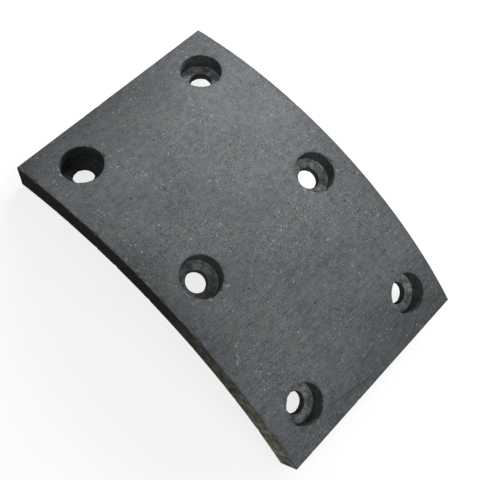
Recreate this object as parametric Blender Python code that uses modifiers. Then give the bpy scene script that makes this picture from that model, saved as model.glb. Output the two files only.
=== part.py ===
"""Drum-brake lining block: a curved friction segment with six stepped rivet holes.

The block is one moulded piece. Its convex face runs against the brake drum and its concave
face lies on the brake shoe's table. Each rivet hole is a deep counterbore for the rivet's
head, with a smaller hole through the web that is left below it for the shank.

Frame: metres, +X along the drum's axis, +Y along the block's chord, +Z out of the friction
face at its crown. The block stands crown up on the two lower edges of its ends, and the
origin is on that plane, below the crown.
"""

from math import cos, pi, radians, sin

import bmesh
import bpy
from mathutils import Vector

# Driving dimensions
DRUM_RADIUS = 0.210
LINING_WIDTH = 0.120
LINING_THICKNESS = 0.012
ARC_ANGLE = radians(52.7)

# Rivet pattern: one row near each side face, three holes along the arc in each
HOLES_PER_ROW = 3
HOLE_PITCH_ANGLE = radians(20.8)
ROW_SPACING = 0.079
PATTERN_OFFSET_X = 0.0006

# Stepped rivet hole
COUNTERBORE_RADIUS = 0.0102
SHANK_HOLE_RADIUS = 0.00525
WEB_THICKNESS = 0.0035

# How finely the round shapes are divided
ARC_SEGMENTS = 48
HOLE_SEGMENTS = 40
WELD_DISTANCE = 0.000001
CUT_CLEARANCE = 0.004
SMOOTH_ANGLE = radians(25.0)

# Worked-out sizes
SEAT_RADIUS = DRUM_RADIUS - LINING_THICKNESS
RIVET_SEAT_HEIGHT = SEAT_RADIUS + WEB_THICKNESS
HALF_ANGLE = ARC_ANGLE / 2.0
AXIS_Z = -SEAT_RADIUS * cos(HALF_ANGLE)

FRICTION_COLOUR = (0.105, 0.118, 0.123, 1.0)


def clear_scene():
    """Remove every object, so the file holds only this part."""
    for old in list(bpy.data.objects):
        bpy.data.objects.remove(old, do_unlink=True)


def new_collection(name):
    """Make a collection of this name and link it to the scene."""
    collection = bpy.data.collections.new(name)
    bpy.context.scene.collection.children.link(collection)
    return collection


def friction_material():
    """Dark slate-grey resin-bonded friction compound, matt and not metallic."""
    material = bpy.data.materials.new("friction_compound")
    material.use_nodes = True
    shader = material.node_tree.nodes["Principled BSDF"]
    shader.inputs["Base Color"].default_value = FRICTION_COLOUR
    shader.inputs["Roughness"].default_value = 0.85
    shader.inputs["Metallic"].default_value = 0.0
    return material


def arc_points(radius, start, end):
    """Points along an arc about the drum's axis, with angles taken from the crown."""
    points = []
    for step in range(ARC_SEGMENTS + 1):
        angle = start + (end - start) * step / ARC_SEGMENTS
        points.append((radius * sin(angle), radius * cos(angle)))
    return points


def lining_block(collection):
    """The uncut block: the sector's outline, extruded by the lining's width."""
    outline = arc_points(DRUM_RADIUS, -HALF_ANGLE, HALF_ANGLE)
    outline += arc_points(SEAT_RADIUS, HALF_ANGLE, -HALF_ANGLE)

    curve = bpy.data.curves.new("lining_outline", "CURVE")
    curve.dimensions = "2D"
    curve.fill_mode = "BOTH"
    curve.extrude = LINING_WIDTH / 2.0
    spline = curve.splines.new("POLY")
    spline.points.add(len(outline) - 1)
    for point, (across, up) in zip(spline.points, outline):
        point.co = (across, up, 0.0, 1.0)
    spline.use_cyclic_u = True

    sector = bpy.data.objects.new("lining_outline", curve)
    sector.location = (0.0, 0.0, AXIS_Z)
    sector.rotation_euler = (pi / 2.0, 0.0, pi / 2.0)
    collection.objects.link(sector)
    return mesh_from_curve(sector, "friction_lining", collection)


def mesh_from_curve(source, name, collection):
    """Turn a filled curve into a closed mesh object in the same place."""
    bpy.context.view_layer.update()
    graph = bpy.context.evaluated_depsgraph_get()
    mesh = bpy.data.meshes.new_from_object(source.evaluated_get(graph))
    mesh.name = name

    shape = bmesh.new()
    shape.from_mesh(mesh)
    bmesh.ops.remove_doubles(shape, verts=shape.verts, dist=WELD_DISTANCE)
    bmesh.ops.recalc_face_normals(shape, faces=shape.faces)
    shape.to_mesh(mesh)
    shape.free()

    solid = bpy.data.objects.new(name, mesh)
    solid.matrix_world = source.matrix_world.copy()
    collection.objects.link(solid)
    bpy.data.objects.remove(source, do_unlink=True)
    return solid


def stepped_cutter(name, collection):
    """Turned cutter for one rivet hole, with its own origin on the drum's axis.

    The profile runs down the tool: counterbore first, then the smaller shank hole.
    """
    top = DRUM_RADIUS + CUT_CLEARANCE
    bottom = SEAT_RADIUS - CUT_CLEARANCE
    profile = [
        (0.0, top),
        (COUNTERBORE_RADIUS, top),
        (COUNTERBORE_RADIUS, RIVET_SEAT_HEIGHT),
        (SHANK_HOLE_RADIUS, RIVET_SEAT_HEIGHT),
        (SHANK_HOLE_RADIUS, bottom),
        (0.0, bottom),
    ]
    mesh = bpy.data.meshes.new(name)
    edges = [(i, i + 1) for i in range(len(profile) - 1)]
    mesh.from_pydata([(radius, 0.0, height) for radius, height in profile], edges, [])

    cutter = bpy.data.objects.new(name, mesh)
    collection.objects.link(cutter)
    turn = cutter.modifiers.new("turn", "SCREW")
    turn.steps = HOLE_SEGMENTS
    turn.render_steps = HOLE_SEGMENTS
    turn.use_merge_vertices = True
    turn.merge_threshold = WELD_DISTANCE
    turn.use_smooth_shade = True
    cutter.display_type = "WIRE"
    cutter.hide_render = True
    return cutter


def rivet_hole_cutters(collection):
    """One cutter for each rivet hole, tipped about the drum's axis to its own angle."""
    first_angle = -HOLE_PITCH_ANGLE * (HOLES_PER_ROW - 1) / 2.0
    cutters = []
    for row, side in enumerate((-1.0, 1.0), start=1):
        for number in range(HOLES_PER_ROW):
            cutter = stepped_cutter(f"rivet_hole_cutter_{row}_{number + 1}", collection)
            cutter.location = Vector((PATTERN_OFFSET_X + side * ROW_SPACING / 2.0, 0.0, AXIS_Z))
            cutter.rotation_euler = (-(first_angle + number * HOLE_PITCH_ANGLE), 0.0, 0.0)
            cutters.append(cutter)
    return cutters


def build():
    """Make the lining: the block, less its six rivet holes."""
    clear_scene()
    parts = new_collection("drum_brake_lining")
    cutting_tools = new_collection("cutters")

    lining = lining_block(parts)
    lining.data.materials.clear()
    lining.data.materials.append(friction_material())
    lining.data.shade_smooth()
    lining.data.set_sharp_from_angle(angle=SMOOTH_ANGLE)

    for cutter in rivet_hole_cutters(cutting_tools):
        cut = lining.modifiers.new(cutter.name, "BOOLEAN")
        cut.operation = "DIFFERENCE"
        cut.solver = "EXACT"
        cut.object = cutter


build()
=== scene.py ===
"""Finished drum-brake lining block: one curved friction segment on a pale studio table.

The block is one closed mesh, thought of as an unrolled sheet. On the sheet x runs along the
drum's axis, s is the arc length at the drum's radius, and t is the depth below the friction
face. What a press, a drill and a grinding belt leave on the compound is added on that sheet,
which is then bent round the drum's axis. Lengths are metres unless a name ends in _mm.
"""

import logging
import math
import random
from dataclasses import dataclass, field
from enum import Enum
from typing import Sequence

import bmesh
import bpy
from mathutils import Matrix, Vector, noise


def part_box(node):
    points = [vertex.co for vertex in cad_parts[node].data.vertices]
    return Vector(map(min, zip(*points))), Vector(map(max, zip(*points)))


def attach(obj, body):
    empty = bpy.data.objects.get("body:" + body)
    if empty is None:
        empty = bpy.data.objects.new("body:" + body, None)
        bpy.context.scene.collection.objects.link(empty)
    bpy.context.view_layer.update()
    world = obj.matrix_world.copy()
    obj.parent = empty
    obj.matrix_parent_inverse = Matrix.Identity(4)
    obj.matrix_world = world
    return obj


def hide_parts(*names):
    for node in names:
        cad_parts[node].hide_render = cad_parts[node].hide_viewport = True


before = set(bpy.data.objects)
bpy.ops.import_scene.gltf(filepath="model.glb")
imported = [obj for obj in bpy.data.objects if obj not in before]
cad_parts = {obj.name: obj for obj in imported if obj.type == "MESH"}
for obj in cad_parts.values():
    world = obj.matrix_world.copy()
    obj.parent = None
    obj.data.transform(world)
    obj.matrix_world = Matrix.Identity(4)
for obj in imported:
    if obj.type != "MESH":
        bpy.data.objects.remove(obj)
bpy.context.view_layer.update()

LOG = logging.getLogger("brake_lining")

MM = 0.001
LINING_NODE = "friction_lining"

# Driving dimensions that the box of the block doesn't give
DRUM_RADIUS = 0.210
ROW_SPACING = 0.079
PATTERN_OFFSET_X = 0.0006
HOLE_PITCH_ANGLE = math.radians(20.8)
HEAD_HOLE_RADIUS = 0.0102
SHANK_HOLE_RADIUS = 0.00525
WEB_THICKNESS = 0.0035

# Lay-out of the mesh
PATCH_SIDES = (-15.0 * MM, 15.0 * MM)
PATCH_CELLS = 32
CELL = (PATCH_SIDES[1] - PATCH_SIDES[0]) / PATCH_CELLS
EDGE_STEPS = (0.15 * MM, 0.40 * MM, 0.80 * MM)
RIM_STEPS = (*EDGE_STEPS, 1.35 * MM)
PATCH_SHARES = (0.16, 0.36, 0.58, 0.80)
WALL_RINGS = 13
SEAT_RINGS = 9
SHANK_RINGS = 5

# Wear along the block's edges and the holes' rims
RUBBED_EDGE_REACH = 0.50 * MM
RUBBED_RIM_REACH = 0.55 * MM
EDGE_CHIP_REACH = 1.2 * MM
PALE_CHIP_DEPTH = 0.40 * MM
KNOCKED_STRIP = 2.0 * MM

# How fast a rim's raggedness changes round its hole, and each face's share of a corner's chip
RAGGED_TURNS = 9.0
DIAGONAL = math.sqrt(0.5)

# Relief and gloss of the compound, as shares of what the grain gives
FULL_STREAK_CONTRAST = 0.15
STREAK_GLOSS = 0.6
PALE_HEIGHT = 0.35
DARK_DEPTH = 0.9

WHITE = (1.0, 1.0, 1.0, 1.0)

Colour = tuple[float, float, float]
Socket = bpy.types.NodeSocket


class FaceZone(Enum):
    """The kinds of surface on the block, in the order of its material slots."""

    FRICTION_FACE = 0
    MOULDED_SIDE = 1
    SAWN_END = 2
    RIVET_BORE = 3
    RIVET_SEAT = 4
    SHOE_SEAT = 5


class ToolLay(Enum):
    """Which way a tool's marks run on a surface."""

    ALONG_AXIS = "along_axis"
    AROUND_ARC = "around_arc"
    ROUND_HOLE = "round_hole"


@dataclass(frozen=True)
class BlockShape:
    """The block's true sizes, without wear or tool marks."""

    width: float
    half_angle: float
    drum_radius: float
    seat_radius: float
    axis_z: float

    @classmethod
    def from_box(cls, low: Vector, high: Vector, drum_radius: float) -> "BlockShape":
        """Work the sizes out from the block's box and the radius of the drum.

        Args:
            low: Lowest corner of the box.
            high: Highest corner of the box.
            drum_radius: Radius of the friction face.

        Returns:
            The sizes of the block that fills the box.
        """
        half_angle = math.asin(high.y / drum_radius)
        axis_z = high.z - drum_radius
        seat_radius = (low.z - axis_z) / math.cos(half_angle)
        return cls(high.x - low.x, half_angle, drum_radius, seat_radius, axis_z)

    @property
    def thickness(self) -> float:
        """Depth of compound between the friction face and the shoe seat."""
        return self.drum_radius - self.seat_radius

    @property
    def half_arc(self) -> float:
        """Half the length of the friction face, round its arc."""
        return self.drum_radius * self.half_angle

    def bend(self, x: float, s: float, t: float) -> Vector:
        """Bend one point of the unrolled sheet round the drum's axis."""
        angle, radius = s / self.drum_radius, self.drum_radius - t
        return Vector((x, radius * math.sin(angle), self.axis_z + radius * math.cos(angle)))

    def unroll(self, point: Vector) -> Vector:
        """Give the sheet's x, s and t for a point of the object."""
        up, drum = point.z - self.axis_z, self.drum_radius
        return Vector((point.x, drum * math.atan2(point.y, up), drum - math.hypot(point.y, up)))


def smooth_step(value: float) -> float:
    """Ease a value between 0 and 1, and hold it there outside that range."""
    held = min(max(value, 0.0), 1.0)
    return held * held * (3.0 - 2.0 * held)


def ruled_lines(low: float, high: float, inner: Sequence[float] = ()) -> list[float]:
    """Rule lines about a cell apart along a stretch, and closer together beside both ends.

    Args:
        low: Start of the stretch.
        high: End of the stretch.
        inner: Values in rising order that must be among the lines.

    Returns:
        All the lines, from end to end.
    """
    stops = [low, *(low + e for e in EDGE_STEPS), *inner, *(high - e for e in reversed(EDGE_STEPS)), high]
    lines = []
    for start, end in zip(stops, stops[1:]):
        count = max(1, round((end - start) / CELL))
        lines += [start + (end - start) * i / count for i in range(count)]
    return [*lines, high]


def ease_corner(out: float, down: float, radius: float, cut: float, reach: float) -> tuple[float, float]:
    """Round the corner between a face and a wall, and break a chip off it.

    The compound fills the quarter where both distances are above zero.

    Args:
        out: Distance of a surface point from the wall, along the face.
        down: Distance of the point from the face, along the wall.
        radius: Radius of the rounded corner.
        cut: Depth of the chip at the corner, or zero.
        reach: How far the chip runs from the corner.

    Returns:
        The two distances of the moved point.
    """
    centre_out, centre_down = max(out, radius), max(down, radius)
    scale = radius / math.hypot(out - centre_out, down - centre_down)
    pull = cut * max(0.0, 1.0 - (out + down) / reach) * DIAGONAL
    moved_out = centre_out + (out - centre_out) * scale + pull
    moved_down = centre_down + (down - centre_down) * scale + pull
    return moved_out, moved_down


@dataclass
class Skin:
    """Points, faces and surface values of one closed skin while it is laid."""

    points: list[Vector] = field(default_factory=list)
    values: list[tuple[float, float, float]] = field(default_factory=list)
    faces: list[tuple[int, ...]] = field(default_factory=list)
    zones: list[int] = field(default_factory=list)
    known: dict[tuple[int, ...], int] = field(default_factory=dict)

    def add_point(self, place: Vector, wear: float, chip: float, ring: float = 0.0) -> int:
        """Keep one point with its surface values.

        Args:
            place: Where the point is.
            wear: How near the point is to a rubbed edge, from 0 to 1.
            chip: How much of a fresh chip it lies in, from 0 to 1.
            ring: Distance along a bore's section, in millimetres.

        Returns:
            The point's number.
        """
        self.points.append(place)
        self.values.append((wear, chip, ring))
        return len(self.points) - 1

    def add_face(self, corners: Sequence[int], zone: FaceZone) -> None:
        """Keep one face between numbered points."""
        self.faces.append(tuple(corners))
        self.zones.append(zone.value)

    def to_mesh(self, name: str, shape: BlockShape) -> bpy.types.Mesh:
        """Make the Blender mesh, with its surface values as attributes.

        Args:
            name: Name of the mesh.
            shape: Sizes that the unrolled coordinates are taken with.

        Returns:
            The closed mesh, faces pointing out and shaded smooth.
        """
        mesh = bpy.data.meshes.new(name)
        mesh.from_pydata(self.points, [], self.faces)
        mesh.polygons.foreach_set("material_index", self.zones)
        for label, column in zip(("edge_wear", "fresh_chip", "tool_ring"), zip(*self.values)):
            mesh.attributes.new(label, "FLOAT", "POINT").data.foreach_set("value", column)
        sheet = mesh.attributes.new("sheet_mm", "FLOAT_VECTOR", "POINT")
        flat = [value / MM for point in self.points for value in shape.unroll(point)]
        sheet.data.foreach_set("vector", flat)
        skin = bmesh.new()
        skin.from_mesh(mesh)
        bmesh.ops.recalc_face_normals(skin, faces=skin.faces)
        skin.to_mesh(mesh)
        skin.free()
        mesh.shade_smooth()
        return mesh


@dataclass(frozen=True)
class Ripple:
    """Smooth random waviness of one size on a surface.

    Its layer in the noise keeps it unlike the other ripples.
    """

    reach_u_mm: float
    reach_v_mm: float
    depth_mm: float
    layer: float

    def depth_at(self, u: float, v: float, shift: float) -> float:
        """Give the ripple's depth at a place, with its layer shifted."""
        across, along = u / (self.reach_u_mm * MM), v / (self.reach_v_mm * MM)
        return (0.5 + 0.5 * noise.noise(Vector((across, along, self.layer + shift)))) * self.depth_mm * MM


# The belt's waves and fine lines on the ground faces, the mould's skin and lines on the
# sides, and the saw's on the ends
RIPPLES: dict[FaceZone, tuple[Ripple, ...]] = {
    FaceZone.FRICTION_FACE: (
        Ripple(17.0, 11.0, 0.030, 3.0),
        Ripple(30.0, 2.1, 0.018, 9.0),
        Ripple(1.9, 1.9, 0.022, 0.0),
    ),
    FaceZone.SHOE_SEAT: (Ripple(9.0, 21.0, 0.045, 41.0), Ripple(2.2, 34.0, 0.035, 47.0)),
    FaceZone.MOULDED_SIDE: (Ripple(4.5, 2.4, 0.055, 61.0), Ripple(38.0, 1.3, 0.040, 67.0)),
    FaceZone.SAWN_END: (Ripple(3.6, 3.0, 0.045, 71.0), Ripple(45.0, 1.2, 0.055, 79.0)),
}


@dataclass(frozen=True)
class Pit:
    """A small hollow where a grain was pulled out of the face."""

    x: float
    s: float
    radius: float
    depth: float

    def depth_at(self, x: float, s: float) -> float:
        """Give the pit's depth at a place on the sheet."""
        away = math.hypot(x - self.x, s - self.s) / self.radius
        return self.depth * smooth_step(1.0 - away)


@dataclass(frozen=True)
class Crumbling:
    """How an edge crumbles: the share of the noise that stays whole, and the depth above it."""

    grain: float = 2.6 * MM
    whole: float = 0.36
    depth: float = 0.9 * MM

    def depth_at(self, place: Vector) -> float:
        """Give the depth of the crumbled spots at a place on an edge."""
        crumb = noise.noise(place / self.grain + Vector((11.0, 5.0, 2.0)))
        return max(0.0, crumb - self.whole) * self.depth


@dataclass
class SurfaceRelief:
    """What the press, the belt and the saw leave on the block, as depths below its true faces."""

    shape: BlockShape
    seed: int = 27
    pit_count: int = 95
    pit_radius_mm: tuple[float, float] = (0.8, 1.7)
    pit_depth_mm: tuple[float, float] = (0.06, 0.20)
    bin_size: float = 6.0 * MM
    layers_a_metre: float = 900.0
    edge_radius: float = 0.24 * MM
    edge_waver: float = 0.09 * MM
    waver_length: float = 6.5 * MM
    plain_edge: Crumbling = Crumbling()
    knocked_edge: Crumbling = Crumbling(whole=0.10, depth=2.6 * MM)
    pits: dict[tuple[int, int], list[Pit]] = field(default_factory=dict)

    def __post_init__(self) -> None:
        """Scatter the pits over the friction face, and note each in the bins about it."""
        draw = random.Random(self.seed)
        for _ in range(self.pit_count):
            x = draw.uniform(-0.5, 0.5) * self.shape.width
            s = draw.uniform(-1.0, 1.0) * self.shape.half_arc
            radius = draw.uniform(*self.pit_radius_mm) * MM
            pit = Pit(x, s, radius, draw.uniform(*self.pit_depth_mm) * MM)
            column, rank = self.bin_at(x, s)
            for across in (-1, 0, 1):
                for along in (-1, 0, 1):
                    self.pits.setdefault((column + across, rank + along), []).append(pit)

    def bin_at(self, x: float, s: float) -> tuple[int, int]:
        """Number of the bin that a place on the sheet is in, each way."""
        return math.floor(x / self.bin_size), math.floor(s / self.bin_size)

    def depth_at(self, zone: FaceZone, u: float, v: float, across: float = 0.0) -> float:
        """Give the depth of the tool's marks and the pits at a place on one of the faces.

        Args:
            zone: Which kind of face it is.
            u: First of the two sheet coordinates that run along the face.
            v: Second of them.
            across: The third, where two faces of a kind mustn't look alike.

        Returns:
            Depth below the true face, never negative.
        """
        shift = self.layers_a_metre * across
        depth = sum(ripple.depth_at(u, v, shift) for ripple in RIPPLES[zone])
        pits = self.pits.get(self.bin_at(u, v), ()) if zone is FaceZone.FRICTION_FACE else ()
        return depth + max((pit.depth_at(u, v) for pit in pits), default=0.0)

    def edge_radius_at(self, place: Vector) -> float:
        """Radius that an edge of the block is rubbed to at a place."""
        return self.edge_radius + self.edge_waver * noise.noise(place / self.waver_length)

    def edge_chip_at(self, place: Vector) -> float:
        """Depth of the chips along an edge, deepest between the low-X side and the friction face."""
        knocked = max(place.x + self.shape.width / 2.0, place.z) < KNOCKED_STRIP
        return (self.knocked_edge if knocked else self.plain_edge).depth_at(place)


@dataclass(frozen=True)
class RimChip:
    """A chip broken off the rim of a hole where the drill went in or came out."""

    angle: float
    half_width: float
    depth: float

    def depth_at(self, angle: float) -> float:
        """Give the chip's depth at an angle round the hole."""
        away = abs(math.remainder(angle - self.angle, math.tau)) / self.half_width
        return self.depth * smooth_step(1.6 * (1.0 - away))


def scattered_chips(draw: random.Random, count: int, least_mm: float, most_mm: float) -> list[RimChip]:
    """Scatter chips between two depths round a rim."""
    return [
        RimChip(
            angle=draw.uniform(0.0, math.tau),
            half_width=math.radians(draw.uniform(3.0, 9.0)),
            depth=draw.uniform(least_mm, most_mm) * MM,
        )
        for _ in range(count)
    ]


@dataclass(frozen=True)
class HoleRim:
    """The rim where a bore meets the friction face or the shoe seat.

    The face is a cylinder round the drum's axis. The sign called inward is +1 where the
    compound lies outside that cylinder and -1 where it lies inside.
    """

    face: FaceZone
    face_radius: float
    inward: float
    bore_radius: float
    ease: float
    waver: float
    chip_reach: float
    pale_depth: float
    chips: Sequence[RimChip]


@dataclass
class RivetHole:
    """One stepped rivet hole: a counterbore for the rivet's head and a hole for its shank."""

    row: int
    number: int
    shape: BlockShape
    named_chips: tuple[RimChip, ...] = ()
    floor_fillet: float = 0.45 * MM
    ridge: float = 0.030 * MM
    ridge_wander: float = 0.5
    lead_in_rings: float = 3.0
    shank_ease: float = 0.12 * MM
    shank_wear: float = 0.6
    shank_ridge: float = 0.018 * MM
    marks: list[float] = field(init=False)
    top_rim: HoleRim = field(init=False)
    low_rim: HoleRim = field(init=False)

    def __post_init__(self) -> None:
        """Break small chips off both rims, and draw how deep each ring of the drill is."""
        draw = random.Random(100 * self.row + self.number)
        top_chips = [*self.named_chips, *scattered_chips(draw, count=9, least_mm=0.10, most_mm=0.38)]
        low_chips = scattered_chips(draw, count=8, least_mm=0.25, most_mm=0.75)
        self.marks = [draw.uniform(-1.0, 1.0) for _ in range(WALL_RINGS + SEAT_RINGS + SHANK_RINGS + 1)]
        self.top_rim = HoleRim(
            FaceZone.FRICTION_FACE, self.shape.drum_radius, -1.0, HEAD_HOLE_RADIUS,
            ease=0.16 * MM, waver=0.05 * MM, chip_reach=1.1 * MM, pale_depth=0.35 * MM, chips=top_chips,
        )
        self.low_rim = HoleRim(
            FaceZone.SHOE_SEAT, self.shape.seat_radius, 1.0, SHANK_HOLE_RADIUS,
            ease=0.15 * MM, waver=0.0, chip_reach=1.3 * MM, pale_depth=0.5 * MM, chips=low_chips,
        )

    @property
    def x(self) -> float:
        """Where the hole's axis is along the drum's axis."""
        side = -1.0 if self.row == 1 else 1.0
        return PATTERN_OFFSET_X + side * ROW_SPACING / 2.0

    @property
    def angle(self) -> float:
        """Angle of the hole's axis from the crown."""
        return (self.number - 2) * HOLE_PITCH_ANGLE

    @property
    def s(self) -> float:
        """Where the hole's axis is round the arc."""
        return self.shape.drum_radius * self.angle

    @property
    def floor_height(self) -> float:
        """Height of the rivet seat above the drum's axis."""
        return self.shape.seat_radius + WEB_THICKNESS

    def place(self, radius: float, turn: float, height: float) -> Vector:
        """Turn the hole's own cylinder coordinates into the object's frame.

        Args:
            radius: Distance from the hole's axis.
            turn: Angle round the hole, from the drum's axis direction.
            height: Distance from the drum's axis, along the hole's axis.

        Returns:
            The point in the object's frame.
        """
        along = radius * math.sin(turn)
        sine, cosine = math.sin(self.angle), math.cos(self.angle)
        return Vector((
            self.x + radius * math.cos(turn),
            along * cosine + height * sine,
            self.shape.axis_z - along * sine + height * cosine,
        ))

    def offset(self, point: Vector) -> tuple[float, float]:
        """Give how far a point lies from the hole's axis, along the drum's axis and round its arc."""
        along = point.y * math.cos(self.angle) - (point.z - self.shape.axis_z) * math.sin(self.angle)
        return point.x - self.x, along


@dataclass
class HoleSpoke:
    """One section of a rivet hole, between the patch's border points on its two faces.

    It keeps its points' numbers from the friction face down, and the zone of each stretch
    between two.
    """

    hole: RivetHole
    relief: SurfaceRelief
    skin: Skin
    outer: int
    inner: int
    turn: float = field(init=False)
    numbers: list[int] = field(init=False)
    zones: list[FaceZone] = field(default_factory=list)

    def __post_init__(self) -> None:
        """Lay the whole section."""
        across, along = self.hole.offset(self.skin.points[self.outer])
        self.turn = math.atan2(along, across)
        self.numbers = [self.outer]
        self.upper_face(math.hypot(across, along) - HEAD_HOLE_RADIUS)
        self.counterbore()
        self.rivet_seat()
        self.shank_hole()
        self.lower_face(math.hypot(*self.hole.offset(self.skin.points[self.inner])) - SHANK_HOLE_RADIUS)
        self.numbers.append(self.inner)
        self.zones.append(FaceZone.SHOE_SEAT)

    def rise(self, cylinder: float, radius: float) -> float:
        """Height over the drum's axis at which the spoke meets a cylinder round that axis."""
        return math.sqrt(cylinder**2 - (radius * math.sin(self.turn)) ** 2)

    def add(
        self,
        zone: FaceZone,
        radius: float,
        height: float,
        ring: float,
        wear: float = 0.0,
        chip: float = 0.0,
    ) -> None:
        """Lay the next point of the section.

        Args:
            zone: Kind of the surface that leads to the point.
            radius: Distance from the hole's axis.
            height: Distance from the drum's axis, along the hole's axis.
            ring: Distance along the bore's section.
            wear: How near the point is to a rubbed edge, from 0 to 1.
            chip: How much of a fresh chip it lies in, from 0 to 1.
        """
        place = self.hole.place(radius, self.turn, height)
        self.numbers.append(self.skin.add_point(place, wear, chip, ring / MM))
        self.zones.append(zone)

    def add_near_rim(self, rim: HoleRim, zone: FaceZone, out: float, down: float) -> None:
        """Lay a point on a rim or near it, with the rim's chips.

        Args:
            rim: The rim.
            zone: Kind of the surface that leads to the point.
            out: Distance from the bore's wall, along the face.
            down: Distance from the face, along the wall.
        """
        cut = max(chip.depth_at(self.turn) for chip in rim.chips)
        around = Vector((math.cos(self.turn), math.sin(self.turn), self.hole.number)) * RAGGED_TURNS
        ease = rim.ease + rim.waver * noise.noise(around)
        moved, sunk = ease_corner(out, down, ease, cut, rim.chip_reach)
        radius = rim.bore_radius + moved
        surface = self.rise(rim.face_radius, radius)
        if down == 0.0:
            sheet = self.hole.shape.unroll(self.hole.place(radius, self.turn, surface + rim.inward * sunk))
            sunk += self.relief.depth_at(rim.face, sheet.x, sheet.y)
        wear = math.exp(-(out + down) / RUBBED_RIM_REACH)
        chip = min(1.0, cut * max(0.0, 1.0 - (out + down) / rim.chip_reach) / rim.pale_depth)
        ring = radius - sunk if rim.face is FaceZone.FRICTION_FACE else 0.0
        self.add(zone, radius, surface + rim.inward * sunk, ring, wear, chip)

    @staticmethod
    def face_steps(reach: float) -> list[float]:
        """Distances of the rings outside a rim, from the rim's own up to near the patch's border."""
        last = RIM_STEPS[-1]
        return [0.0, *RIM_STEPS, *(last + (reach - last) * share for share in PATCH_SHARES)]

    def upper_face(self, reach: float) -> None:
        """Lay the rings on the friction face, from the patch's border to the counterbore's rim."""
        for out in reversed(self.face_steps(reach)):
            self.add_near_rim(self.hole.top_rim, FaceZone.FRICTION_FACE, out, 0.0)

    def counterbore(self) -> None:
        """Lay the counterbore's wall, with the drill's ridges."""
        hole, bore = self.hole, FaceZone.RIVET_BORE
        for down in EDGE_STEPS[:-1]:
            self.add_near_rim(hole.top_rim, bore, 0.0, down)
        surface = self.rise(hole.shape.drum_radius, HEAD_HOLE_RADIUS)
        top, bottom = EDGE_STEPS[-1], surface - hole.floor_height - hole.floor_fillet
        for ring in range(WALL_RINGS + 1):
            down = top + (bottom - top) * ring / WALL_RINGS
            around = Vector((3.0 * math.cos(self.turn), 3.0 * math.sin(self.turn), 2.0 * ring))
            mark = hole.ridge * (hole.marks[ring] + hole.ridge_wander * noise.noise(around))
            mark *= smooth_step((ring + 1) / hole.lead_in_rings)
            radius = HEAD_HOLE_RADIUS + mark
            self.add(bore, radius, surface - down, radius - down)

    def rivet_seat(self) -> None:
        """Lay the floor's fillet and the flat rivet seat, with the cutter's rings."""
        hole, seat = self.hole, FaceZone.RIVET_SEAT
        start, end = HEAD_HOLE_RADIUS - hole.floor_fillet, SHANK_HOLE_RADIUS + EDGE_STEPS[1]
        for swing in (math.pi / 6.0, math.pi / 3.0, math.pi / 2.0):
            radius = start + hole.floor_fillet * math.cos(swing)
            self.add(seat, radius, hole.floor_height + hole.floor_fillet * (1.0 - math.sin(swing)), radius)
        for ring in range(1, SEAT_RINGS + 1):
            radius = start + (end - start) * ring / SEAT_RINGS
            mark = hole.ridge * hole.marks[WALL_RINGS + ring]
            self.add(seat, radius, hole.floor_height + mark, radius)

    def shank_hole(self) -> None:
        """Lay the eased rim of the shank hole and its wall."""
        hole, bore = self.hole, FaceZone.RIVET_BORE
        first, second, _ = EDGE_STEPS
        for out, down in ((first, 0.0), (0.0, 0.0), (0.0, first), (0.0, second)):
            moved, sunk = ease_corner(out, down, hole.shank_ease, 0.0, MM)
            height = hole.floor_height - sunk
            self.add(bore, SHANK_HOLE_RADIUS + moved, height, SHANK_HOLE_RADIUS + out, hole.shank_wear)
        bottom = hole.floor_height - self.rise(hole.shape.seat_radius, SHANK_HOLE_RADIUS) - second
        for ring in range(1, SHANK_RINGS + 1):
            down = second + (bottom - second) * ring / SHANK_RINGS
            radius = SHANK_HOLE_RADIUS + hole.shank_ridge * hole.marks[WALL_RINGS + SEAT_RINGS + ring]
            self.add(bore, radius, hole.floor_height - down, SHANK_HOLE_RADIUS - down)

    def lower_face(self, reach: float) -> None:
        """Lay the shank hole's lower rim and the rings on the shoe seat, out to the patch's border."""
        for out, down in ((0.0, EDGE_STEPS[0]), *((out, 0.0) for out in self.face_steps(reach))):
            self.add_near_rim(self.hole.low_rim, FaceZone.SHOE_SEAT, out, down)


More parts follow.
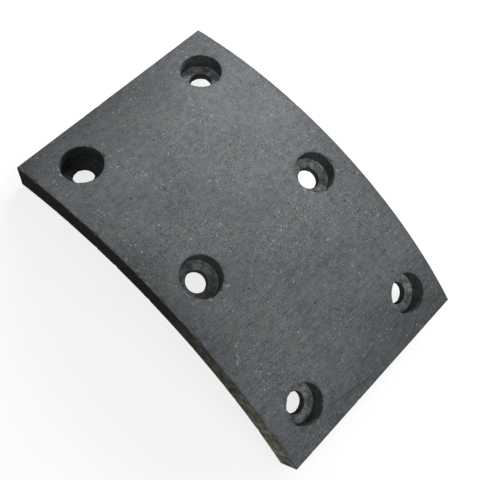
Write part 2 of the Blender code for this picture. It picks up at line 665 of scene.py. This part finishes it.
class ShaderBench:
    """Adds and joins the nodes of one material, or of the world."""

    def __init__(self, owner: bpy.types.ID, shader: str = "Principled BSDF") -> None:
        """Start work on a new material or world.

        Args:
            owner: The material or world.
            shader: Name of the shader node that it comes with.
        """
        owner.use_nodes = True
        self.owner = owner
        self.tree = owner.node_tree
        self.shader = self.tree.nodes[shader]

    def fill(self, node: bpy.types.Node, inputs: dict) -> None:
        """Fill a node's inputs.

        Args:
            node: The node.
            inputs: Values or output sockets by input name or number.
        """
        for key, value in inputs.items():
            if isinstance(value, Socket):
                self.tree.links.new(value, node.inputs[key])
            else:
                node.inputs[key].default_value = value

    def node(self, kind: str, inputs: dict, **settings: object) -> bpy.types.Node:
        """Add one node.

        Args:
            kind: The node's type name.
            inputs: Values or output sockets by input name or number.
            settings: Properties to set on the node.

        Returns:
            The node.
        """
        made = self.tree.nodes.new(kind)
        for name, value in settings.items():
            setattr(made, name, value)
        self.fill(made, inputs)
        return made

    def attribute(self, name: str, output: str = "Fac") -> Socket:
        """Read one of the mesh's attributes."""
        return self.node("ShaderNodeAttribute", {}, attribute_name=name).outputs[output]

    def scaled(self, vector: Socket, scale: Colour, turn: float) -> Socket:
        """Turn coordinates about the face's normal, then scale them."""
        turned = self.node("ShaderNodeMapping", {"Vector": vector, "Rotation": (0.0, 0.0, turn)})
        return self.node("ShaderNodeMapping", {"Vector": turned.outputs[0], "Scale": scale}).outputs[0]

    def noise(self, vector: Socket, scale: float, detail: float = 2.0, rough: float = 0.5) -> Socket:
        """Smooth random value about 0.5, at a scale given in cycles a millimetre."""
        inputs = {"Vector": vector, "Scale": scale, "Detail": detail, "Roughness": rough}
        return self.node("ShaderNodeTexNoise", inputs).outputs[0]

    def maths(self, operation: str, *values: object) -> Socket:
        """Join values with one sum, product or comparison."""
        return self.node("ShaderNodeMath", dict(enumerate(values)), operation=operation).outputs[0]

    def plus(self, first: object, second: object) -> Socket:
        """Add two values."""
        return self.maths("ADD", first, second)

    def times(self, first: object, second: object) -> Socket:
        """Multiply two values."""
        return self.maths("MULTIPLY", first, second)

    def remap(self, value: Socket, low: float, high: float, to_low: float, to_high: float) -> Socket:
        """Carry a range over to another, and hold values outside it."""
        inputs = {"Value": value, "From Min": low, "From Max": high, "To Min": to_low, "To Max": to_high}
        return self.node("ShaderNodeMapRange", inputs).outputs[0]

    def contrast(self, value: Socket, share: float) -> Socket:
        """Carry a noise about 0.5 over to one about 0, of this much either way."""
        return self.remap(value, 0.25, 0.75, -share, share)

    def blend(self, factor: object, under: object, over: Colour) -> Socket:
        """Blend a plain colour over another."""
        inputs = {0: factor, 6: under, 7: (*over, 1.0)}
        return self.node("ShaderNodeMix", inputs, data_type="RGBA").outputs[2]

    def grains(self, vector: Socket, scale: float, share: float, size: float) -> Socket:
        """Scatter single grains.

        Args:
            vector: Coordinates in millimetres.
            scale: Cells a millimetre, with one grain at most in each.
            share: Share of the cells that hold a grain.
            size: Radius of a grain as a share of a cell.

        Returns:
            1 in a grain's middle and 0 between grains.
        """
        cell = self.node("ShaderNodeTexVoronoi", {"Vector": vector, "Scale": scale})
        pick = self.node("ShaderNodeSeparateColor", {0: cell.outputs["Color"]})
        chosen = self.maths("GREATER_THAN", pick.outputs[0], 1.0 - share)
        spread = self.maths("MULTIPLY_ADD", pick.outputs[1], 0.6 * size, 0.6 * size)
        inside = self.maths("SUBTRACT", 1.0, self.maths("DIVIDE", cell.outputs["Distance"], spread))
        return self.times(chosen, self.remap(inside, 0.0, 0.45, 0.0, 1.0))


@dataclass(frozen=True)
class SheetSpot:
    """A spot on the unrolled sheet, and how far it reaches along its two directions."""

    x_mm: float
    s_mm: float
    reach_x_mm: float
    reach_s_mm: float
    turn: float = 0.0

    def local(self, bench: ShaderBench, sheet: Socket) -> Socket:
        """Coordinates that are 0 in the spot's middle and 1 at its reach.

        Args:
            bench: The material's bench.
            sheet: Unrolled coordinates in millimetres.

        Returns:
            The coordinates, turned with the spot.
        """
        inputs = {
            "Vector": sheet,
            "Location": (self.x_mm, self.s_mm, 0.0),
            "Rotation": (0.0, 0.0, self.turn),
            "Scale": (self.reach_x_mm, self.reach_s_mm, 1.0),
        }
        return bench.node("ShaderNodeMapping", inputs, vector_type="TEXTURE").outputs[0]


@dataclass(frozen=True)
class Scratch(SheetSpot):
    """A thin straight mark."""

    colour: Colour = (0.030, 0.034, 0.038)
    amount: float = 0.95


@dataclass(frozen=True)
class PaintedLightPatch(SheetSpot):
    """A broad soft patch of painted shade or painted highlight, darker or paler than the rest."""

    tone: float = 1.0


@dataclass(frozen=True)
class CompoundFinish:
    """Look of the friction compound on one kind of surface.

    Colours are linear, and contrasts are shares of the base tone.
    """

    name: str
    slate: Colour
    green_cast: Colour
    violet_cast: Colour
    lay: ToolLay
    grain_contrast: float = 0.64
    clump_contrast: float = 0.26
    streak_contrast: float = 0.20
    cloud_contrast: float = 0.16
    pale_share: float = 0.42
    dark_share: float = 0.17
    fibre_share: float = 0.035
    speck_amount: float = 0.13
    dark_amount: float = 0.72
    pale_amount: float = 0.62
    fibre_amount: float = 0.55
    pale_grain: Colour = (0.42, 0.44, 0.43)
    dark_grain: Colour = (0.030, 0.033, 0.036)
    fresh_break: Colour = (0.22, 0.23, 0.22)
    rubbed_edge: Colour = (0.042, 0.047, 0.048)
    edge_amount: float = 0.95
    roughness: tuple[float, float] = (0.62, 0.86)
    bump_mm: float = 0.15
    scratches: tuple[Scratch, ...] = ()
    # Patches of painted shade and painted highlight that scale the tone
    patches: tuple[PaintedLightPatch, ...] = ()
    # A pale colour laid thicker along one way: partly dust and partly painted light
    dust_and_painted_light: Colour = (0.345, 0.330, 0.262)
    dust_and_painted_light_amount: float = 0.0
    dust_and_painted_light_way: tuple[float, float] = (0.0, -1.0)
    dust_and_painted_light_span_mm: tuple[float, float] = (0.0, 88.0)
    specular: float = 0.5


class CompoundBench(ShaderBench):
    """Mixes one finish of the friction compound, step by step."""

    def __init__(self, finish: CompoundFinish) -> None:
        """Start the finish's material, with the noises and grains that several steps share.

        Args:
            finish: What the compound looks like on the surface.
        """
        super().__init__(bpy.data.materials.new(finish.name))
        self.finish = finish
        self.sheet = self.attribute("sheet_mm", "Vector")
        self.grain = self.noise(self.sheet, scale=1.02, detail=3.0, rough=0.66)
        self.clump = self.noise(self.sheet, scale=0.28, rough=0.6)
        self.streak = self.streaks()
        pale = self.grains(self.sheet, scale=0.50, share=finish.pale_share, size=0.28)
        crowd = self.remap(self.noise(self.sheet, scale=0.055), 0.42, 0.60, 0.12, 1.0)
        self.pale = self.times(pale, crowd)
        turned = self.scaled(self.sheet, (0.37, 0.37, 0.37), turn=0.6)
        self.dark = self.grains(turned, scale=1.0, share=finish.dark_share, size=0.24)
        self.colour = self.tint()

    def streaks(self) -> Socket:
        """Draw the tool's marks the way it travelled over this surface.

        Returns:
            A value about 0.5 that varies across the marks, more so towards the low-Y end.
        """
        if self.finish.lay is ToolLay.ROUND_HOLE:
            ring = self.node("ShaderNodeCombineXYZ", {"X": self.attribute("tool_ring")})
            return self.noise(ring.outputs[0], scale=1.6, rough=0.6)
        stretch = (0.06, 1.0, 1.0) if self.finish.lay is ToolLay.ALONG_AXIS else (1.0, 0.04, 1.0)
        across = self.scaled(self.sheet, stretch, turn=math.radians(2.0))
        marks = self.noise(across, scale=1.05, detail=3.0, rough=0.6)
        round_arc = self.node("ShaderNodeSeparateXYZ", {0: self.sheet}).outputs[1]
        swell = self.remap(round_arc, 45.0, -65.0, 0.6, 1.4)
        return self.plus(self.times(self.maths("SUBTRACT", marks, 0.5), swell), 0.5)

    def tint(self) -> Socket:
        """Lay faint green and violet casts over the slate, as the resin takes them.

        Returns:
            The clean colour.
        """
        turned = self.scaled(self.sheet, (0.1, 0.1, 0.1), turn=1.1)
        green, violet = (
            self.remap(cast, 0.48, 0.68, 0.0, 0.90)
            for cast in (self.noise(self.sheet, scale=0.085), self.noise(turned, scale=1.0))
        )
        greened = self.blend(green, (*self.finish.slate, 1.0), self.finish.green_cast)
        return self.blend(violet, greened, self.finish.violet_cast)

    def cover(self, amount: Socket, over: Colour) -> None:
        """Lay a plain colour over the colour so far."""
        self.colour = self.blend(amount, self.colour, over)

    def dust_and_painted_light(self) -> None:
        """Lay a pale colour that thickens along one way across the surface, in patches: partly dust and
        partly painted light.
        """
        inputs = {0: self.sheet, 1: (*self.finish.dust_and_painted_light_way, 0.0)}
        distance = self.node("ShaderNodeVectorMath", inputs, operation="DOT_PRODUCT").outputs["Value"]
        amount = self.remap(distance, *self.finish.dust_and_painted_light_span_mm, 0.0, self.finish.dust_and_painted_light_amount)
        self.cover(self.times(amount, self.remap(self.clump, 0.35, 0.62, 0.50, 1.0)), self.finish.dust_and_painted_light)

    def tone(self) -> Socket:
        """Join grain, clumps, cloudiness, tool marks and the patches of painted shade and painted highlight
        into one tone.

        Returns:
            A factor about 1 for the colour.
        """
        finish = self.finish
        coarse = self.remap(self.noise(self.sheet, scale=0.032), 0.38, 0.62, 0.60, 1.35)
        fine = self.times(self.contrast(self.grain, finish.grain_contrast), coarse)
        broad = self.contrast(self.noise(self.sheet, scale=0.045, detail=3.0), finish.cloud_contrast)
        lines = self.contrast(self.streak, finish.streak_contrast)
        lumps = self.contrast(self.clump, finish.clump_contrast)
        total = self.plus(self.plus(fine, broad), self.plus(lines, lumps))
        tone = self.maths("MAXIMUM", self.plus(total, 1.0), 0.15)
        # Painted shade and painted highlight: each patch scales the tone
        for patch in finish.patches:
            inputs = {0: patch.local(self, self.sheet), 1: (1.0, 1.0, 0.0)}
            flat = self.node("ShaderNodeVectorMath", inputs, operation="MULTIPLY").outputs[0]
            away = self.node("ShaderNodeVectorMath", {0: flat}, operation="LENGTH").outputs["Value"]
            tone = self.times(tone, self.remap(away, 0.15, 1.0, patch.tone, 1.0))
        return tone

    def fleck(self) -> None:
        """Sprinkle specks, dark and pale grains and short slanted fibres over the colour."""
        finish = self.finish
        specks = self.grains(self.sheet, scale=1.05, share=0.22, size=0.34)
        slants = (((0.14, 0.60, 0.40), 0.25), ((0.16, 0.62, 0.40), -0.75))
        sheets = [self.scaled(self.sheet, stretch, turn) for stretch, turn in slants]
        level, steep = (self.grains(s, scale=1.0, share=finish.fibre_share, size=0.20) for s in sheets)
        fibres = self.maths("MAXIMUM", level, steep)
        self.cover(self.times(specks, finish.speck_amount), finish.pale_grain)
        self.cover(self.times(self.dark, finish.dark_amount), finish.dark_grain)
        self.cover(self.times(self.pale, finish.pale_amount), finish.pale_grain)
        self.cover(self.times(fibres, finish.fibre_amount), finish.pale_grain)

    def scratch(self) -> None:
        """Draw the scratches over the colour, broken up by the grain."""
        for mark in self.finish.scratches:
            split = self.node("ShaderNodeSeparateXYZ", {0: mark.local(self, self.sheet)})
            lengthwise = self.remap(self.maths("ABSOLUTE", split.outputs[0]), 0.6, 1.0, 1.0, 0.0)
            crosswise = self.remap(self.maths("ABSOLUTE", split.outputs[1]), 0.2, 1.0, 1.0, 0.0)
            broken = self.remap(self.grain, 0.35, 0.55, 0.4 * mark.amount, mark.amount)
            self.cover(self.times(self.times(lengthwise, crosswise), broken), mark.colour)

    def wear(self) -> None:
        """Darken the rubbed edges and open up the fresh chips."""
        edge = self.times(self.attribute("edge_wear"), self.finish.edge_amount)
        self.cover(self.times(edge, self.remap(self.grain, 0.3, 0.7, 0.5, 1.2)), self.finish.rubbed_edge)
        chip = self.times(self.attribute("fresh_chip"), self.remap(self.grain, 0.35, 0.65, 0.25, 1.0))
        self.cover(chip, self.finish.fresh_break)

    def relief(self) -> Socket:
        """Raise the grain and the tool marks, and sink the dark grains.

        Returns:
            The bumped normal.
        """
        streak_height = self.finish.streak_contrast / FULL_STREAK_CONTRAST
        height = self.plus(self.grain, self.times(self.streak, streak_height))
        height = self.plus(height, self.times(self.pale, PALE_HEIGHT))
        height = self.maths("SUBTRACT", height, self.times(self.dark, DARK_DEPTH))
        inputs = {"Strength": 1.0, "Distance": self.finish.bump_mm * MM, "Height": height}
        return self.node("ShaderNodeBump", inputs).outputs[0]

    def mixed(self) -> bpy.types.Material:
        """Mix the finish's material.

        Returns:
            A material whose colour, roughness and relief all come from its nodes.
        """
        if self.finish.dust_and_painted_light_amount > 0.0:
            self.dust_and_painted_light()
        inputs = {0: self.colour, "Scale": self.tone()}
        self.colour = self.node("ShaderNodeVectorMath", inputs, operation="SCALE").outputs[0]
        self.fleck()
        self.scratch()
        self.wear()
        uneven = self.plus(self.grain, self.times(self.streak, STREAK_GLOSS))
        self.fill(self.shader, {
            "Base Color": self.colour,
            "Roughness": self.remap(uneven, 0.55, 1.1, *self.finish.roughness),
            "Normal": self.relief(),
            "Specular IOR Level": self.finish.specular,
        })
        return self.owner


# Painted shade: the bore and seat of the corner hole at low X and high Y are darkened to a quarter, where
# shade fell into it
HOLE_PAINTED_SHADE = (PaintedLightPatch(-39.0, 90.0, 34.0, 34.0, tone=0.25),)

FINISHES: dict[FaceZone, CompoundFinish] = {
    FaceZone.FRICTION_FACE: CompoundFinish(
        name="ground_friction_face",
        slate=(0.112, 0.125, 0.131),
        green_cast=(0.108, 0.126, 0.116),
        violet_cast=(0.114, 0.120, 0.144),
        lay=ToolLay.ALONG_AXIS,
        scratches=(
            Scratch(14.0, 58.3, 4.2, 0.32, math.radians(-9.0), (0.34, 0.36, 0.36), 0.80),
            Scratch(21.6, -27.6, 1.6, 0.42, math.radians(-13.0), (0.42, 0.43, 0.42)),
            Scratch(-14.0, -89.8, 12.0, 0.55, math.radians(-14.0)),
            Scratch(-13.2, -91.8, 10.0, 0.48, math.radians(-13.0), amount=0.85),
            Scratch(-12.0, -90.4, 18.0, 2.00, math.radians(-14.0), (0.045, 0.050, 0.056), 0.30),
        ),
        # Painted shade on the high-Y end, both long edges and two corners, and painted highlight in two
        # broad middle patches
        patches=(
            PaintedLightPatch(0.0, 106.0, 150.0, 42.0, tone=0.58),
            PaintedLightPatch(-66.0, 6.0, 26.0, 70.0, tone=0.52),
            PaintedLightPatch(66.0, -12.0, 20.0, 60.0, tone=0.72),
            PaintedLightPatch(54.0, -98.0, 80.0, 42.0, tone=0.66),
            PaintedLightPatch(24.0, 26.0, 46.0, 62.0, tone=1.20),
            PaintedLightPatch(-60.0, 97.0, 12.0, 15.0, tone=0.62),
            PaintedLightPatch(-22.0, -56.0, 40.0, 36.0, tone=1.12),
        ),
    ),
    FaceZone.MOULDED_SIDE: CompoundFinish(
        name="moulded_side_and_painted_shade",
        # Partly painted shade: both moulded sides get a near-black base, far darker than the friction face,
        # matched to a side turned away from the light
        slate=(0.0140, 0.0140, 0.0085),
        green_cast=(0.0130, 0.0150, 0.0075),
        violet_cast=(0.0150, 0.0135, 0.0105),
        lay=ToolLay.AROUND_ARC,
        streak_contrast=0.24,
        clump_contrast=0.45,
        pale_share=0.05,
        fibre_share=0.01,
        pale_grain=(0.15, 0.15, 0.13),
        # Paler and olive towards the low-Y end, more on the low-X side: partly dust and partly painted
        # light
        dust_and_painted_light_amount=1.0,
        dust_and_painted_light_way=(-0.5, -1.0),
        dust_and_painted_light_span_mm=(30.0, 118.0),
        specular=0.30,
    ),
    FaceZone.SAWN_END: CompoundFinish(
        name="sawn_end",
        slate=(0.078, 0.083, 0.081),
        green_cast=(0.072, 0.084, 0.074),
        violet_cast=(0.080, 0.078, 0.086),
        lay=ToolLay.ALONG_AXIS,
        streak_contrast=0.26,
    ),
    FaceZone.RIVET_BORE: CompoundFinish(
        name="drilled_rivet_bore",
        slate=(0.078, 0.086, 0.090),
        green_cast=(0.068, 0.086, 0.072),
        violet_cast=(0.080, 0.082, 0.098),
        lay=ToolLay.ROUND_HOLE,
        streak_contrast=0.40,
        pale_share=0.06,
        pale_grain=(0.22, 0.23, 0.23),
        # Painted shade in the corner hole's bore
        patches=HOLE_PAINTED_SHADE,
        specular=0.35,
    ),
    FaceZone.RIVET_SEAT: CompoundFinish(
        name="spot_faced_rivet_seat",
        slate=(0.080, 0.088, 0.089),
        green_cast=(0.070, 0.089, 0.076),
        violet_cast=(0.084, 0.084, 0.095),
        lay=ToolLay.ROUND_HOLE,
        streak_contrast=0.26,
        clump_contrast=0.34,
        pale_share=0.10,
        # Painted shade in the corner hole's seat
        patches=HOLE_PAINTED_SHADE,
        # Painted light: the rivet seats get paler towards high X and low Y, where more light fell into the
        # holes; partly dust
        dust_and_painted_light=(0.450, 0.470, 0.480),
        dust_and_painted_light_amount=1.0,
        dust_and_painted_light_way=(1.0, -0.5),
        dust_and_painted_light_span_mm=(-80.0, 20.0),
        specular=0.35,
    ),
    FaceZone.SHOE_SEAT: CompoundFinish(
        name="ground_shoe_seat",
        slate=(0.100, 0.109, 0.112),
        green_cast=(0.094, 0.110, 0.102),
        violet_cast=(0.103, 0.104, 0.117),
        lay=ToolLay.AROUND_ARC,
        bump_mm=0.13,
    ),
}


@dataclass
class LiningBlock:
    """The curved block of friction compound, with its six stepped rivet holes."""

    shape: BlockShape
    relief: SurfaceRelief
    holes: list[RivetHole]
    name: str = "lining_block"
    skin: Skin = field(default_factory=Skin)
    lines: tuple[list[float], ...] = field(init=False)

    def __post_init__(self) -> None:
        """Rule the sheet's x, s and t lines, with a square patch left free round each hole."""
        half_width, half_arc = self.shape.width / 2.0, self.shape.half_arc
        across = [x + side for x in sorted({hole.x for hole in self.holes}) for side in PATCH_SIDES]
        along = [s + side for s in sorted({hole.s for hole in self.holes}) for side in PATCH_SIDES]
        self.lines = (
            ruled_lines(-half_width, half_width, across),
            ruled_lines(-half_arc, half_arc, along),
            ruled_lines(0.0, self.shape.thickness),
        )

    @property
    def last(self) -> list[int]:
        """Number of the last line each way."""
        return [len(lines) - 1 for lines in self.lines]

    def corner(self, *numbers: int) -> int:
        """Lay, or find again, the point where three lines of the sheet meet on its surface.

        Args:
            numbers: Numbers of the x, the s and the t line.

        Returns:
            The point's number.
        """
        if numbers not in self.skin.known:
            flat = Vector([lines[number] for lines, number in zip(self.lines, numbers)])
            self.skin.known[numbers] = self.skin.add_point(*self.surface_point(flat))
        return self.skin.known[numbers]

    def surface_point(self, flat: Vector) -> tuple[Vector, float, float]:
        """Round the sheet's edges and sink its relief at one point of its surface.

        Args:
            flat: The point's x, s and t on the sharp-edged sheet.

        Returns:
            The point in the object's frame, its edge wear and its share of fresh chip.
        """
        low = Vector((-self.shape.width / 2.0, -self.shape.half_arc, 0.0))
        high = Vector((self.shape.width / 2.0, self.shape.half_arc, self.shape.thickness))
        radius = self.relief.edge_radius_at(flat)
        (_, face), (gap, edge), _ = sorted((min(flat[a] - low[a], high[a] - flat[a]), a) for a in range(3))
        core = Vector([min(max(flat[a], low[a] + radius), high[a] - radius) for a in range(3)])
        outward = (flat - core).normalized()
        eased = core + outward * (radius - self.marks_at(flat, outward, face))
        chip = self.relief.edge_chip_at(flat) * max(0.0, 1.0 - gap / EDGE_CHIP_REACH)
        for axis in (face, edge):
            towards = 1.0 if flat[axis] - low[axis] < high[axis] - flat[axis] else -1.0
            eased[axis] += towards * chip * DIAGONAL
        return self.shape.bend(*eased), math.exp(-gap / RUBBED_EDGE_REACH), min(1.0, chip / PALE_CHIP_DEPTH)

    def marks_at(self, flat: Vector, outward: Vector, axis: int) -> float:
        """Depth of the tool marks at a point of the surface.

        Args:
            flat: The point's x, s and t.
            outward: Direction out of the compound there.
            axis: Which of x, s and t the point's face is square to.

        Returns:
            Depth below the true face, faded out on the rounded edges.
        """
        steady = max(abs(outward.x), abs(outward.y), abs(outward.z)) ** 4
        ground = FaceZone.FRICTION_FACE if flat.z < self.shape.thickness / 2.0 else FaceZone.SHOE_SEAT
        zone = (FaceZone.MOULDED_SIDE, FaceZone.SAWN_END, ground)[axis]
        u, v = (flat[other] for other in range(3) if other != axis)
        return steady * self.relief.depth_at(zone, u, v, 0.0 if zone is ground else flat[axis])

    def patch_range(self, hole: RivetHole) -> list[int]:
        """Find the lines that border a hole's patch.

        Args:
            hole: The hole in the middle of the patch.

        Returns:
            Numbers of the lowest and the highest x line, then of the s lines.
        """
        numbers = []
        for lines, middle in zip(self.lines, (hole.x, hole.s)):
            for place in (middle + side for side in PATCH_SIDES):
                numbers.append(min(range(len(lines)), key=lambda number: abs(lines[number] - place)))
        return numbers

    def lay_side(self, axis: int, line: int, zone: FaceZone) -> None:
        """Lay one side of the sheet, except for the patches round the holes.

        Args:
            axis: Which of x, s and t the side is square to.
            line: Number of that axis's line that the side lies on.
            zone: What kind of surface the side is.
        """
        patches = [self.patch_range(hole) for hole in self.holes] if axis == 2 else []
        first, second = (other for other in range(3) if other != axis)
        for i in range(self.last[first]):
            for j in range(self.last[second]):
                if any(west <= i < east and south <= j < north for west, east, south, north in patches):
                    continue
                pairs = ((i, j), (i + 1, j), (i + 1, j + 1), (i, j + 1))
                self.skin.add_face([self.corner(*pair[:axis], line, *pair[axis:]) for pair in pairs], zone)

    def lay_hole(self, hole: RivetHole) -> None:
        """Lay one hole, spoke by spoke, inside its patch.

        Args:
            hole: The hole to lay.
        """
        west, east, south, north = self.patch_range(hole)
        border = [(i, south) for i in range(west, east)]
        border += [(east, j) for j in range(south, north)]
        border += [(i, north) for i in range(east, west, -1)]
        border += [(west, j) for j in range(north, south, -1)]
        spokes = []
        for i, j in border:
            outer, inner = self.corner(i, j, 0), self.corner(i, j, self.last[2])
            spokes.append(HoleSpoke(hole, self.relief, self.skin, outer, inner))
        for spoke, other in zip(spokes, spokes[1:] + spokes[:1]):
            for step, zone in enumerate(spoke.zones):
                ring = [*spoke.numbers[step:step + 2], other.numbers[step + 1], other.numbers[step]]
                self.skin.add_face(ring, zone)

    def build(self) -> bpy.types.Object:
        """Build the whole block and dress it.

        Returns:
            The block, riding in the place of the plain one.
        """
        for axis, zones in enumerate((
            (FaceZone.MOULDED_SIDE, FaceZone.MOULDED_SIDE),
            (FaceZone.SAWN_END, FaceZone.SAWN_END),
            (FaceZone.FRICTION_FACE, FaceZone.SHOE_SEAT),
        )):
            for line, zone in zip((0, self.last[axis]), zones):
                self.lay_side(axis, line, zone)
        for hole in self.holes:
            self.lay_hole(hole)
        block = bpy.data.objects.new(self.name, self.skin.to_mesh(self.name, self.shape))
        bpy.context.scene.collection.objects.link(block)
        self.dress(block)
        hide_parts(LINING_NODE)
        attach(block, "root")
        return block

    def dress(self, block: bpy.types.Object) -> None:
        """Give each zone of the block its finish.

        Args:
            block: The block, whose faces hold their zones' numbers.
        """
        indices = [0] * len(block.data.polygons)
        block.data.polygons.foreach_get("material_index", indices)
        for zone in FaceZone:
            block.data.materials.append(CompoundBench(FINISHES[zone]).mixed())
        block.data.polygons.foreach_set("material_index", indices)


@dataclass(frozen=True)
class SoftLight:
    """A large soft lamp that faces the block.

    Its heading, from +X towards +Y, and its elevation are degrees, and its power is watts.
    """

    name: str
    heading: float
    elevation: float
    distance: float
    size: float
    power: float

    def hang(self, target: Vector) -> None:
        """Hang the lamp so that it points at the target.

        Args:
            target: What the lamp lights.
        """
        lamp = bpy.data.lights.new(self.name, "AREA")
        lamp.shape = "DISK"
        lamp.size = self.size
        lamp.energy = self.power
        holder = bpy.data.objects.new(self.name, lamp)
        heading, rise = math.radians(self.heading), math.radians(self.elevation)
        level = math.cos(rise)
        towards = Vector((level * math.cos(heading), level * math.sin(heading), math.sin(rise)))
        holder.location = target + towards * self.distance
        holder.rotation_euler = towards.to_track_quat("Z", "Y").to_euler()
        bpy.context.scene.collection.objects.link(holder)


@dataclass
class Studio:
    """The pale table, the soft lamps and the camera."""

    target: Vector
    table_size: float = 6.0
    table_tone: float = 0.30
    table_glow: float = 0.80
    room_light: float = 0.17
    backdrop: float = 0.96
    camera_azimuth: float = math.radians(-89.45)
    camera_elevation: float = math.radians(64.97)
    camera_roll: float = math.radians(-46.66)
    camera_distance: float = 0.4357
    camera_lens_mm: float = 69.32
    lamps: tuple[SoftLight, ...] = (
        SoftLight("window_light", 0.0, 20.0, 0.80, 0.45, 6.4),
        SoftLight("near_lamp", 45.0, 25.0, 0.33, 0.15, 0.60),
        SoftLight("room_fill", 180.0, 40.0, 0.80, 0.45, 0.9),
        SoftLight("end_lamp", 270.0, 50.0, 0.33, 0.15, 0.15),
    )

    def build(self) -> None:
        """Set up the whole studio."""
        self.lay_table()
        self.light_room()
        for lamp in self.lamps:
            lamp.hang(self.target)
        self.place_camera()
        bpy.context.scene.view_settings.view_transform = "Standard"

    def lay_table(self) -> None:
        """Lay a pale, softly glowing table top under the block."""
        half = self.table_size / 2.0
        corners = [(-half, -half, 0.0), (half, -half, 0.0), (half, half, 0.0), (-half, half, 0.0)]
        mesh = bpy.data.meshes.new("table_top")
        mesh.from_pydata(corners, [], [(0, 1, 2, 3)])
        bench = ShaderBench(bpy.data.materials.new("pale_table"))
        bench.fill(bench.shader, {
            "Base Color": (self.table_tone, self.table_tone, self.table_tone, 1.0),
            "Roughness": 1.0,
            "Specular IOR Level": 0.0,
            "Emission Color": WHITE,
            "Emission Strength": self.table_glow,
        })
        mesh.materials.append(bench.owner)
        table = bpy.data.objects.new("table_top", mesh)
        table.visible_diffuse = False
        table.visible_glossy = False
        bpy.context.scene.collection.objects.link(table)

    def light_room(self) -> None:
        """Make the room dim for the block, and pale where the camera looks past the table."""
        bench = ShaderBench(bpy.data.worlds.new("studio"), "Background")
        seen = bench.node("ShaderNodeLightPath", {}).outputs["Is Camera Ray"]
        inputs = {"Value": seen, "To Min": self.room_light, "To Max": self.backdrop}
        level = bench.node("ShaderNodeMapRange", inputs)
        bench.fill(bench.shader, {"Color": WHITE, "Strength": level.outputs[0]})
        bpy.context.scene.world = bench.owner

    def place_camera(self) -> None:
        """Stand the camera above the block's near side and roll it."""
        lens = bpy.data.cameras.new("camera")
        lens.lens = self.camera_lens_mm
        camera = bpy.data.objects.new("camera", lens)
        heading = Matrix.Rotation(self.camera_azimuth, 4, "Z")
        tilt = Matrix.Rotation(math.pi / 2.0 - self.camera_elevation, 4, "X")
        roll = Matrix.Rotation(-self.camera_roll, 4, "Z")
        retreat = Matrix.Translation((0.0, 0.0, self.camera_distance))
        camera.matrix_world = Matrix.Translation(self.target) @ heading @ tilt @ roll @ retreat
        bpy.context.scene.collection.objects.link(camera)
        bpy.context.scene.camera = camera


def rim_chips(*chips: tuple[float, float, float]) -> tuple[RimChip, ...]:
    """Make chips from angle and half width in degrees and depth in millimetres."""
    return tuple(RimChip(math.radians(a), math.radians(w), d * MM) for a, w, d in chips)


def rivet_holes(shape: BlockShape) -> list[RivetHole]:
    """Set out the two rows of holes, each with the larger chips on its rim.

    Args:
        shape: The block's sizes.

    Returns:
        The six holes.
    """
    broken = {
        (1, 1): rim_chips((-40.0, 6.0, 0.5), (150.0, 5.0, 0.35)),
        (1, 2): rim_chips((-19.0, 6.0, 0.9), (-54.0, 6.0, 0.8), (-77.0, 5.0, 0.9), (-107.0, 7.0, 1.1)),
        (1, 3): rim_chips((-20.0, 5.0, 1.2), (28.0, 4.0, 0.8), (168.0, 6.0, 0.9)),
        (2, 1): rim_chips((-95.0, 6.0, 0.6), (60.0, 5.0, 0.4)),
        (2, 2): rim_chips((-6.0, 8.0, 0.9), (-103.0, 6.0, 0.8), (-165.0, 5.0, 0.6), (45.0, 5.0, 0.5)),
        (2, 3): rim_chips((15.0, 5.0, 0.5), (-80.0, 6.0, 0.6)),
    }
    return [RivetHole(row, number, shape, chips) for (row, number), chips in broken.items()]


def main() -> None:
    """Build the block and the studio, and report each piece."""
    logging.basicConfig(level=logging.INFO, format="%(name)s: %(message)s")
    low, high = (Vector(corner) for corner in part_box(LINING_NODE))
    shape = BlockShape.from_box(low, high, DRUM_RADIUS)
    block = LiningBlock(shape, SurfaceRelief(shape), rivet_holes(shape)).build()
    LOG.info("%s: %d faces, %d finishes", block.name, len(block.data.polygons), len(block.data.materials))
    Studio(target=Vector((-0.0054, 0.0005, 0.5 * high.z))).build()
    LOG.info("studio: table, lamps and camera")


if __name__ == "__main__":
    main()
